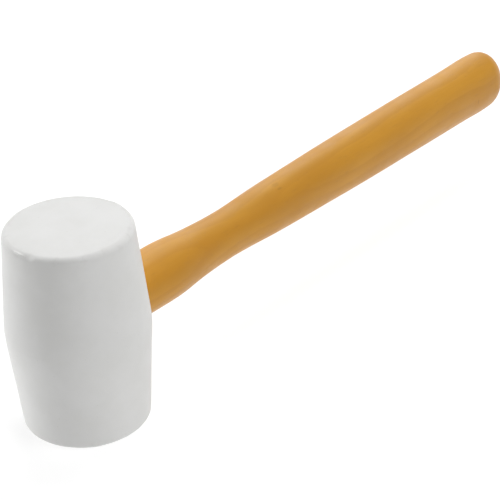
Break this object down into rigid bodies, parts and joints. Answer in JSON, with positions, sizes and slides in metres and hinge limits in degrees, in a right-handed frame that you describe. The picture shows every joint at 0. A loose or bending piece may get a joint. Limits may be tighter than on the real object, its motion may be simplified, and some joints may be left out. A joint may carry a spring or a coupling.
{
  "type": "rubber mallet",
  "caption": "Rubber mallet with a double-faced barrel head and a lacquered hardwood handle, for tapping pavers, slabs, tiles and formwork without marking them.",
  "frame": {"origin": "centre of the lower striking face", "axes": "+Z along the head's axis, from the lower to the upper striking face; +X along the handle, from the head to the butt"},
  "size_m": [0.347, 0.065, 0.097],
  "materials": {
    "white_rubber": "matte moulded white rubber",
    "lacquered_wood": "honey-coloured satin lacquer over fine straight grain",
    "bare_wood": "bare sawn hardwood",
    "cured_glue": "cured adhesive"
  },
  "bodies": {
    "root": {"rubber_head": "white_rubber", "wooden_handle": "lacquered_wood", "tenon_wedge": "bare_wood", "socket_adhesive": "cured_glue"}
  },
  "joints": []
}
